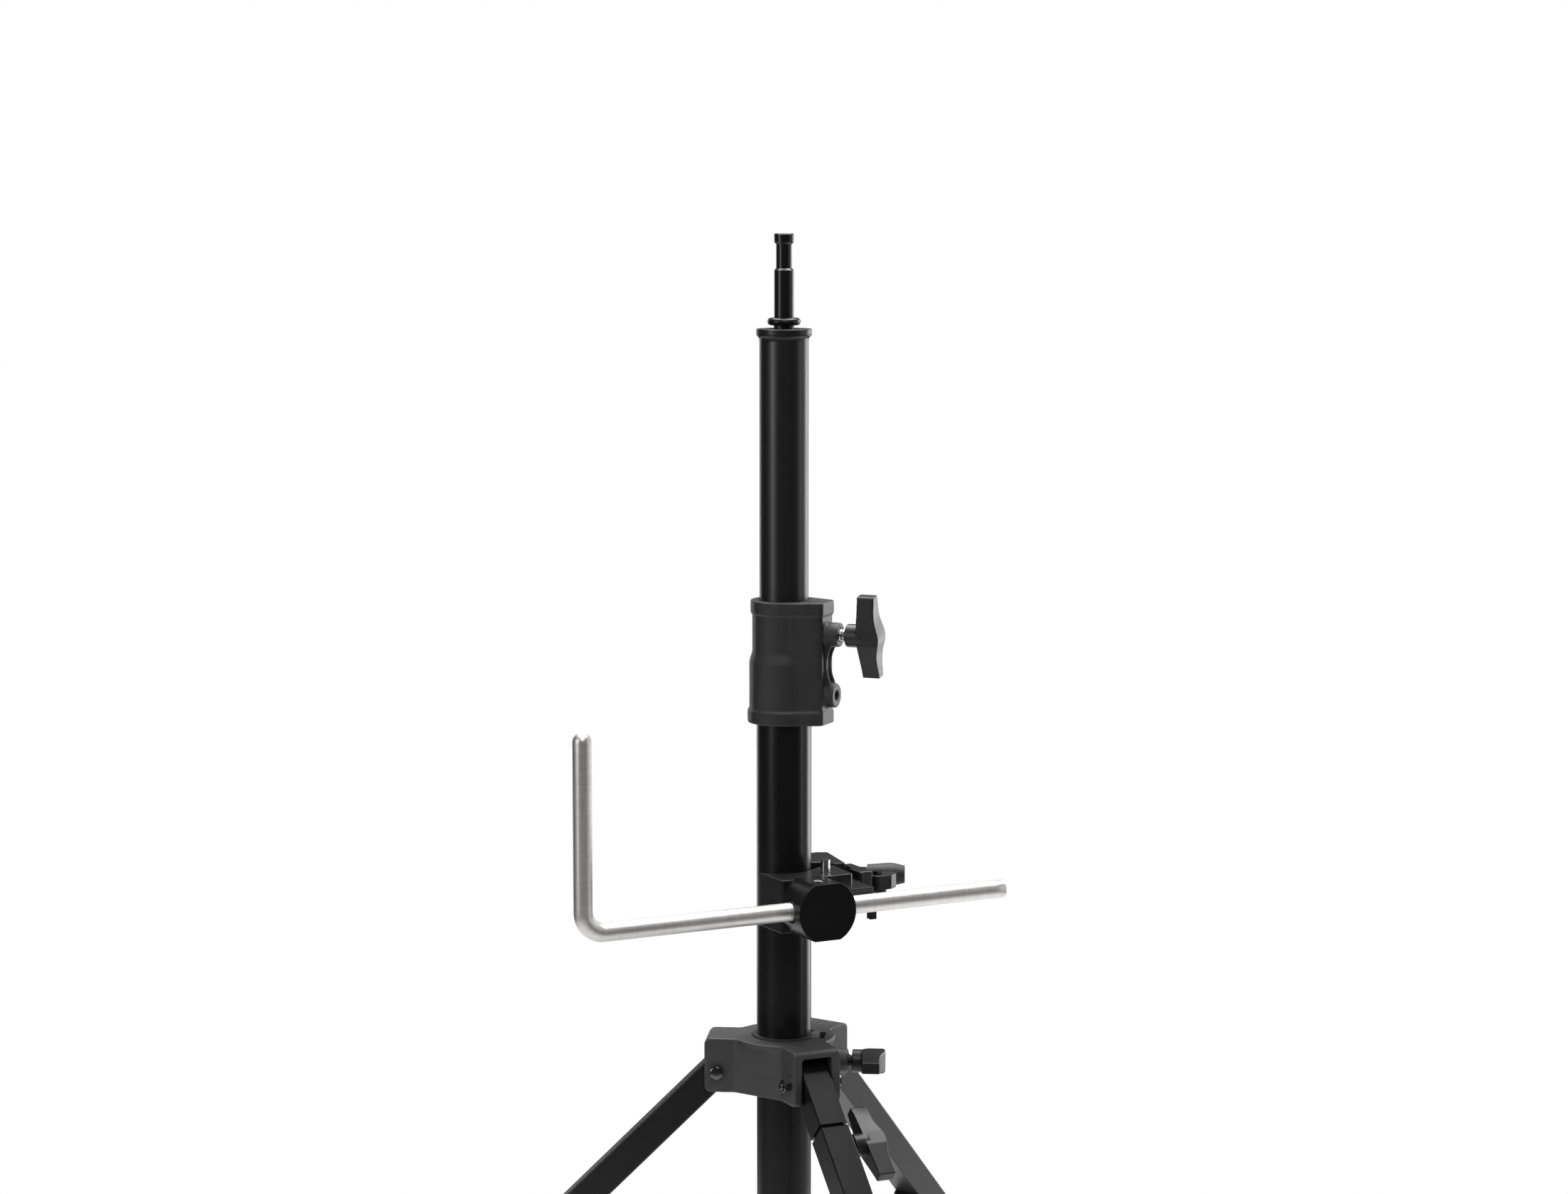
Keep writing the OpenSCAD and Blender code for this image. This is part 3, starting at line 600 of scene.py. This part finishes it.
@dataclass
class Castings:
    """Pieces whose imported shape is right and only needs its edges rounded.

    Each row is a piece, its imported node, its body, its finish, its slot, the
    grid size in millimetres and the smoothing rounds.
    """

    pieces: list = field(default_factory=lambda: [
        ("collar_casting", "collar", "column", Finish.COLLAR, "black_casting", 0.75, 12),
        ("spider_casting", "spider", "spider", Finish.SPIDER, "grey_casting", 0.9, 8),
        ("clamp_front_jaw", "clamp_body", "clamp", Finish.CLAMP, "black_casting", 0.6, 4),
        ("clamp_back_jaw", "clamp_jaw", "jaw", Finish.CLAMP, "black_casting", 0.7, 7),
        ("lever_arm", "clamp_lever", "lever", Finish.CLAMP, "grey_casting", 0.45, 9),
        ("collar_wing_knob", "collar_knob", "collar_knob", Finish.KNOB, "knob_black", 0.45, 11),
        ("spider_wing_knob", "spider_knob", "spider_knob", Finish.KNOB, "knob_black", 0.45, 11),
        ("level_wing_knob", "level_knob", "level_knob", Finish.KNOB, "knob_black", 0.45, 11),
        ("lever_rubber_grip", "lever_grip", "lever", Finish.RUBBER, "boot_rubber", 0.45, 6),
        ("holder_block", "rod_holder", "holder", Finish.HOLDER, "holder_black", 0.42, 2),
        ("socket_wing", "socket_lock", "socket_lock", Finish.KNOB, "knob_black", 0.4, 3),
        ("left_boot", "foot_left", "leg_left", Finish.RUBBER, "boot_rubber", 0.7, 4),
        ("rear_boot", "foot_rear", "leg_rear", Finish.RUBBER, "boot_rubber", 0.7, 4),
        ("front_boot", "foot_front", "leg_front_foot", Finish.RUBBER, "boot_rubber", 0.7, 4),
    ])

    def build(self) -> None:
        """Makes each rounded piece and dresses it."""
        for name, node, body, finish, slot, voxel, rounds in self.pieces:
            piece = softened(name, copy_of(node), voxel, rounds)
            dress(piece, finish, body, slot, node)


@dataclass
class Threads:
    """The screws' threads, each a ridge wound round a core, in millimetres."""

    pitch: float = 1.5
    ridge: float = 0.55
    radius: float = 5.0
    steps: int = 40
    sides: int = 48
    screws: tuple = (
        ("collar_thread", "collar_screw", "collar_knob", Finish.STEEL, "plain_steel"),
        ("spider_thread", "spider_screw", "spider_knob", Finish.DARK_STEEL, "dark_steel"),
        ("level_thread", "level_screw", "level_knob", Finish.DARK_STEEL, "dark_steel"),
    )

    def tree(self) -> Growth:
        """Builds the tree that winds one thread along +Z."""
        net = Growth("screw thread", Radius="Float", Pitch="Float", Ridge="Float", Length="Float")
        radius, pitch, ridge, length = (net.size(n) for n in ("Radius", "Pitch", "Ridge", "Length"))
        run = length - ridge * 2.0
        turns = net.add("ShaderNodeMath", {"operation": "DIVIDE"}, i0=run, i1=pitch)
        wind = net.add("GeometryNodeCurveSpiral", Resolution=self.steps, Rotations=turns.outputs[0],
                       Start_Radius=radius - ridge, End_Radius=radius - ridge, Height=run)
        edge = net.add("GeometryNodeCurvePrimitiveCircle", Resolution=6, Radius=ridge)
        thread = net.add("GeometryNodeCurveToMesh", Curve=wind.outputs[0],
                         Profile_Curve=edge.outputs[0])
        thread.inputs["Fill Caps"].default_value = True
        lift = net.add("ShaderNodeCombineXYZ", Z=ridge)
        raised = net.add("GeometryNodeTransform", Geometry=thread.outputs[0],
                         Translation=lift.outputs[0])
        core = net.add("GeometryNodeMeshCylinder", Vertices=self.sides, Radius=radius - ridge * 1.5,
                       Depth=length)
        middle = net.add("ShaderNodeCombineXYZ", Z=length * 0.5)
        shank = net.add("GeometryNodeTransform", Geometry=core.outputs[0],
                        Translation=middle.outputs[0])
        both = net.add("GeometryNodeJoinGeometry")
        for part in (raised, shank):
            net.tree.links.new(part.outputs[0], both.inputs[0])
        net.close(both.outputs[0])
        return net

    def span(self, node: str, axis: Vector) -> tuple[Vector, float]:
        """Finds a level screw's start and length from its packed box.

        Args:
            node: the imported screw.
            axis: its level direction.

        Returns:
            The start point and the length, in metres.
        """
        low, high = (Vector(c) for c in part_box(node))
        wide = self.radius * MM * 2
        reach = max(((high[i] - low[i]) - wide * abs(axis[1 - i])) / abs(axis[i]) for i in (0, 1)
                    if abs(axis[i]) > 0.5)
        return (low + high) / 2 - axis * reach / 2, reach

    def build(self) -> None:
        """Winds each thread and dresses it."""
        net = self.tree()
        for name, node, body, finish, slot in self.screws:
            axis = Vector(JOINTS[body + "_turn"]["axis"]).normalized()
            start, reach = self.span(node, axis)
            mesh = net.grow(name, bpy.data.meshes.new(name + "_seed"), Radius=self.radius * MM,
                            Pitch=self.pitch * MM, Ridge=self.ridge * MM, Length=reach,
                            Finish=finish.get())
            mesh.transform(along(tuple(start / MM), axis))
            smooth(mesh, 50)
            dress(link(name, mesh), finish, body, slot, node)


@dataclass
class Fasteners:
    """The hexagon bolts and nuts that carry the three legs, in millimetres."""

    flats: float = 10.0
    half: float = 20.7
    shank: float = 3.0
    head: float = 4.0
    nut: float = 6.0
    tail: float = 2.0
    chamfer: float = 0.6
    turned: float = 0.3
    sides: int = 72
    finish: Finish = Finish.BOLT

    def bolt(self) -> bpy.types.Mesh:
        """Turns and cuts one bolt with its nut, along +Z about its middle.

        Returns:
            The mesh, in metres.
        """
        bm = bmesh.new()
        self.hexagon(bm, self.half, self.half + self.head, dome=0.25)
        self.hexagon(bm, -self.half, -self.half - self.nut, dome=0.0)
        foot = -self.half - self.nut - self.tail
        top = self.half + 0.5
        self.turn(bm, [(0, foot), (self.shank - self.chamfer, foot), (self.shank, foot + self.chamfer),
                       (self.shank, top), (0, top)])
        mesh = bpy.data.meshes.new("bolt")
        bmesh.ops.recalc_face_normals(bm, faces=bm.faces)
        bm.to_mesh(mesh)
        bm.free()
        smooth(mesh, 30)
        return mesh

    def turn(self, bm: bmesh.types.BMesh, profile: list[tuple[float, float]], sides: int = 32) -> None:
        """Turns a profile of (radius, height) about Z into the mesh.

        Args:
            bm: the mesh being made.
            profile: points in millimetres.
            sides: sides round the axis.
        """
        rings = []
        for radius, height in profile:
            count = sides if radius > 0 else 1
            rings.append(ring(bm, [radius] * count, [height] * count))
        for low, high in zip(rings, rings[1:]):
            for i in range(sides):
                j = (i + 1) % sides
                face = [low[i % len(low)], low[j % len(low)], high[j % len(high)], high[i % len(high)]]
                bm.faces.new(list(dict.fromkeys(face)))

    def hexagon(self, bm: bmesh.types.BMesh, near: float, far: float, dome: float) -> None:
        """Adds a hexagonal head whose outer corners are turned away.

        Args:
            bm: the mesh being made.
            near: height of the face on the casting.
            far: height of the outer face.
            dome: height of the outer face's middle.
        """
        sign = 1 if far > near else -1
        flat = self.flats / 2
        inner = flat - self.turned
        sixth = math.pi / 3
        edges = [flat / math.cos((math.tau * i / self.sides + sixth / 2) % sixth - sixth / 2)
                 for i in range(self.sides)]
        cut = [far - sign * max(0.0, edge - flat + 0.35) * math.tan(math.radians(30)) for edge in edges]
        rings = [
            ring(bm, edges, [near] * self.sides),
            ring(bm, edges, cut),
            ring(bm, [inner] * self.sides, [far + sign * 0.001] * self.sides),
            ring(bm, [inner * 0.45] * self.sides, [far + sign * dome] * self.sides),
        ]
        for low, high in zip(rings, rings[1:]):
            for i in range(self.sides):
                j = (i + 1) % self.sides
                bm.faces.new((low[i], low[j], high[j], high[i]))
        bm.faces.new(rings[0])
        bm.faces.new(rings[-1])

    def build(self) -> None:
        """Sets one bolt at each leg's hinge and dresses the set."""
        net = Growth("clevis bolts", Bolt="Object", Size="Float")
        info = net.add("GeometryNodeObjectInfo", Object=net.size("Bolt"))
        turn = net.add("GeometryNodeInputNamedAttribute", {"data_type": "FLOAT_VECTOR"}, Name="turn")
        spread = net.add("GeometryNodeInstanceOnPoints", Points=net.entry.outputs["Geometry"],
                         Instance=info.outputs["Geometry"], Rotation=turn.outputs[0],
                         Scale=net.size("Size"))
        net.close(spread.outputs[0])
        points = bpy.data.meshes.new("hinge_points")
        points.from_pydata([JOINTS[f"leg_{leg}_hinge"]["pos_m"] for leg in LEG_AZ], [], [])
        turns = points.attributes.new("turn", "FLOAT_VECTOR", "POINT")
        for i, azimuth in enumerate(LEG_AZ.values()):
            across = Vector((-math.sin(math.radians(azimuth)), math.cos(math.radians(azimuth)), 0))
            turns.data[i].vector = across.to_track_quat("Z", "Y").to_euler()
        template = link("bolt_template", self.bolt())
        mesh = net.grow("clevis_bolts", points, Bolt=template, Size=1.0, Finish=self.finish.get())
        bpy.data.objects.remove(template)
        smooth(mesh, 30)
        dress(link("clevis_bolts", mesh), self.finish, "spider", "dark_steel", "leg_bolts", "leg_nuts")


@dataclass
class HookRod:
    """The round stainless rod, bent up at its left end, in millimetres.

    Its length is measured each way from the middle of its holder.
    """

    radius: float = 7.5
    right: float = 175.0
    left: float = 209.0
    up: float = 160.0
    bend: float = 18.0
    sides: int = 64

    def path(self) -> list[tuple[float, float, float, float, float]]:
        """Lists stations as (along, height, radius, tangent along, tangent height)."""
        r = self.radius
        stations = [(self.right, 0, r - 1.0, -1, 0), (self.right - 0.25, 0, r - 0.45, -1, 0),
                    (self.right - 1, 0, r, -1, 0)]
        run = self.right - 1 + self.left - self.bend
        stations += [(self.right - 1 - run * i / 40, 0, r, -1, 0) for i in range(1, 41)]
        for i in range(1, 17):
            a = math.pi / 2 * i / 16
            stations.append((-self.left + self.bend - self.bend * math.sin(a),
                             self.bend - self.bend * math.cos(a), r, -math.cos(a), math.sin(a)))
        rise = self.up - r - self.bend
        stations += [(-self.left, self.bend + rise * i / 14, r, 0, 1) for i in range(1, 15)]
        for i in range(1, 9):
            a = math.pi / 2 * i / 9
            stations.append((-self.left, self.up - r + r * math.sin(a), r * math.cos(a), 0, 1))
        return stations

    def build(self) -> None:
        """Sweeps the rod, lays its lengthwise coordinates and dresses it."""
        bm = bmesh.new()
        layer = bm.loops.layers.uv.new("length")
        place = Matrix.Translation(Vector(JOINTS["rod_roll"]["pos_m"])) @ Matrix.Rotation(YAW, 4, "Z")
        rings, lengths, total, last = [], [], 0.0, None
        for x, z, r, tx, tz in self.path():
            if last is not None:
                total += math.hypot(x - last[0], z - last[1])
            last = (x, z)
            lengths.append(total)
            round_it = [math.tau * i / self.sides + math.pi / 2 for i in range(self.sides)]
            rings.append([bm.verts.new(place @ (Vector((
                x - tz * r * math.cos(a), r * math.sin(a), z + tx * r * math.cos(a))) * MM))
                for a in round_it])
        for k, (low, high) in enumerate(zip(rings, rings[1:])):
            for i in range(self.sides):
                j = (i + 1) % self.sides
                face = bm.faces.new((low[i], low[j], high[j], high[i]))
                spots = ((i, k), (i + 1, k), (i + 1, k + 1), (i, k + 1))
                for loop, (turn, step) in zip(face.loops, spots):
                    loop[layer].uv = (turn / self.sides, lengths[step] / (math.tau * self.radius))
        bm.faces.new(list(reversed(rings[0])))
        bm.faces.new(rings[-1])
        bmesh.ops.recalc_face_normals(bm, faces=bm.faces)
        mesh = bpy.data.meshes.new("hook_rod")
        bm.to_mesh(mesh)
        bm.free()
        smooth(mesh)
        dress(link("hook_rod", mesh), Finish.ROD, "rod", "stainless_rod", "l_rod")


@dataclass
class Plain:
    """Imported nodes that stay, with better finishes."""

    finishes: dict = field(default_factory=lambda: {
        Finish.ANODISED: ["column_tube", "spigot", "spigot_ring"],
        Finish.RISER: ["riser_tube"],
        Finish.CLAMP: ["riser_cap", "lug_left", "lug_rear", "lug_front", "lower_hub"],
        Finish.BUSH: ["riser_guide", "column_plug", "spider_bush"],
        Finish.STEEL: ["hub_pins", "rivets_left", "rivets_rear", "rivets_front", "lock_pin_spring",
                       "holder_stud"],
        Finish.BRIGHT: ["holder_screw"],
        Finish.DARK_STEEL: ["collar_set_screw", "lever_pin", "leg_front_core"],
        Finish.CHROME: ["lock_pin"],
        Finish.HOLDER: ["rod_sleeve"],
        Finish.PAD: ["collar_pad", "spider_pad", "level_pad"],
        Finish.LIT_REAR_LEG: ["leg_rear"],
        Finish.FRONT_LEG: ["leg_front_upper", "leg_front_lower", "brace_left", "brace_rear",
                           "brace_front"],
        Finish.LEFT_LEG: ["leg_left"],
    })

    def build(self) -> None:
        """Repaints each node."""
        for finish, nodes in self.finishes.items():
            repaint(finish, *nodes)


# ---------------------------------------------------------------- stage


@dataclass
class Studio:
    """The floor, the lights, the surround and the camera."""

    eye: tuple = (0.0, -2.828, 1.295)
    pitch: float = 6.8
    lens: float = 79.9275
    sensor: float = 36.0
    surround: float = 0.07
    floor_radius: float = 1.5
    floor_grey: float = 0.62
    boxes: tuple = (
        ("key", (0.3, -2.4, 3.0), (1.4, 1.0), 36),
        ("left wall", (-1.3, 2.3, 1.1), (0.4, 2.2), 9),
        ("right wall", (1.7, 1.6, 1.1), (1.2, 2.2), 42),
        ("right front", (2.6, -0.3, 1.0), (0.5, 2.0), 9),
        ("left front", (-2.4, -1.7, 1.4), (0.7, 1.6), 26),
        ("top", (0.1, 0.5, 2.9), (2.2, 1.8), 170),
    )

    def camera(self) -> None:
        """Adds the camera and makes it the scene's."""
        data = bpy.data.cameras.new("camera")
        data.sensor_width = self.sensor
        data.lens = self.lens
        eye = bpy.data.objects.new("camera", data)
        eye.location = self.eye
        eye.rotation_euler = (math.radians(90 - self.pitch), 0, 0)
        bpy.context.scene.collection.objects.link(eye)
        bpy.context.scene.camera = eye

    def world(self) -> None:
        """Surrounds the stand with white for the eye and dimmer grey for its reflections."""
        world = bpy.data.worlds.new("surround")
        bpy.context.scene.world = world
        world.use_nodes = True
        nodes, links = world.node_tree.nodes, world.node_tree.links
        nodes.clear()
        seen, lit = nodes.new("ShaderNodeBackground"), nodes.new("ShaderNodeBackground")
        seen.inputs[0].default_value = (1, 1, 1, 1)
        lit.inputs[0].default_value = (1, 1, 1, 1)
        lit.inputs[1].default_value = self.surround
        seen.inputs[1].default_value = 1.0
        path, mix = nodes.new("ShaderNodeLightPath"), nodes.new("ShaderNodeMixShader")
        links.new(path.outputs["Is Camera Ray"], mix.inputs[0])
        links.new(lit.outputs[0], mix.inputs[1])
        links.new(seen.outputs[0], mix.inputs[2])
        out = nodes.new("ShaderNodeOutputWorld")
        links.new(mix.outputs[0], out.inputs[0])

    def light(self, name: str, at: tuple, size: tuple, power: float, aim: tuple = (0, 0, 0.9)) -> None:
        """Adds one soft box aimed at the stand.

        Args:
            name: the light's name.
            at: its place in metres.
            size: width and height in metres.
            power: watts.
            aim: the point it faces.
        """
        data = bpy.data.lights.new(name, "AREA")
        data.shape = "RECTANGLE"
        data.size, data.size_y = size
        data.energy = power
        lamp = bpy.data.objects.new(name, data)
        lamp.location = at
        lamp.visible_camera = False
        lamp.rotation_euler = (Vector(aim) - Vector(at)).to_track_quat("-Z", "Y").to_euler()
        bpy.context.scene.collection.objects.link(lamp)

    def floor(self) -> None:
        """Lays the pale floor."""
        bm = bmesh.new()
        bmesh.ops.create_circle(bm, cap_ends=True, radius=self.floor_radius, segments=96)
        mesh = bpy.data.meshes.new("floor")
        bm.to_mesh(mesh)
        bm.free()
        floor = link("floor", mesh)
        floor.location.z = -0.0005
        material = bpy.data.materials.new("pale floor")
        tree = Tree(material)
        shader = tree.add("ShaderNodeBsdfPrincipled", Base_Color=(*(self.floor_grey,) * 3, 1),
                          Roughness=0.8)
        tree.feed(tree.output.inputs[0], shader.outputs[0])
        mesh.materials.append(material)

    def build(self) -> None:
        """Sets the whole stage."""
        self.camera()
        self.world()
        self.floor()
        for name, at, size, power in self.boxes:
            self.light(name, at, size, power)


def main() -> None:
    """Builds the stage and every piece, in order."""
    logging.basicConfig(level=logging.INFO, format="%(message)s")
    bpy.context.scene.view_settings.view_transform = "Standard"
    Studio().build()
    for part in (Plain(), Castings(), Threads(), Fasteners(), HookRod()):
        part.build()


if __name__ == "__main__":
    main()
